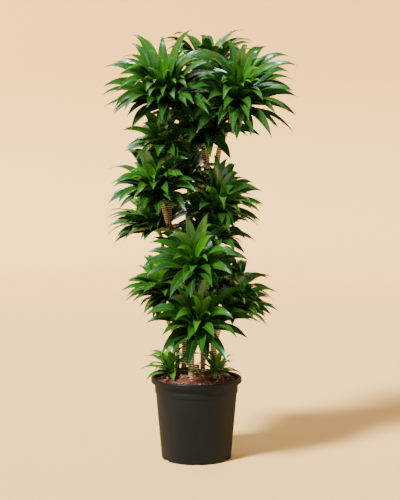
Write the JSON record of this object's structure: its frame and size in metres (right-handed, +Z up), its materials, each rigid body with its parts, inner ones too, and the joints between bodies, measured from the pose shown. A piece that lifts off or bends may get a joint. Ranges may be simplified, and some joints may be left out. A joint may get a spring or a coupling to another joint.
{
  "type": "potted corn plant",
  "caption": "Tall potted dracaena with slim branched canes that carry rosettes of arching, glossy dark-green leaves, in a round nursery pot filled with bark soil.",
  "frame": {"origin": "centre of the pot's underside, on the floor", "axes": "+Z up along the pot's axis; -Y is the side that the picture shows; +X is to the right in it"},
  "size_m": [0.6482, 0.6392, 1.4639],
  "materials": {
    "pot_plastic": "satin black, injection moulded",
    "bark_soil": "rough, coarse brown bark and fibre chips",
    "cane_bark": "dull tan bark with close ring-shaped leaf scars",
    "leaf": "glossy dark green with fine lengthwise veins",
    "young_leaf": "glossy lighter green with fine lengthwise veins"
  },
  "bodies": {
    "root": {"pot": "pot_plastic", "soil": "bark_soil", "cane_front": "cane_bark", "cane_left": "cane_bark", "cane_thin": "cane_bark", "cane_right": "cane_bark", "cane_back": "cane_bark", "cane_stub": "cane_bark", "head_top_left": "leaf", "head_top_right": "leaf", "head_low_front": "leaf", "head_front": "leaf", "head_mid_left": "leaf", "head_mid_right": "leaf", "head_low_left": "leaf", "head_far_right": "leaf", "head_upper_mid": "leaf", "head_low_right": "leaf", "head_left": "leaf", "head_mid_centre": "leaf", "head_upper_left": "leaf", "head_top_back": "leaf", "head_mid_back": "leaf", "head_right": "leaf", "head_low_centre": "leaf", "head_low_back": "leaf", "shoot_left": "young_leaf", "shoot_right": "young_leaf"}
  },
  "joints": []
}
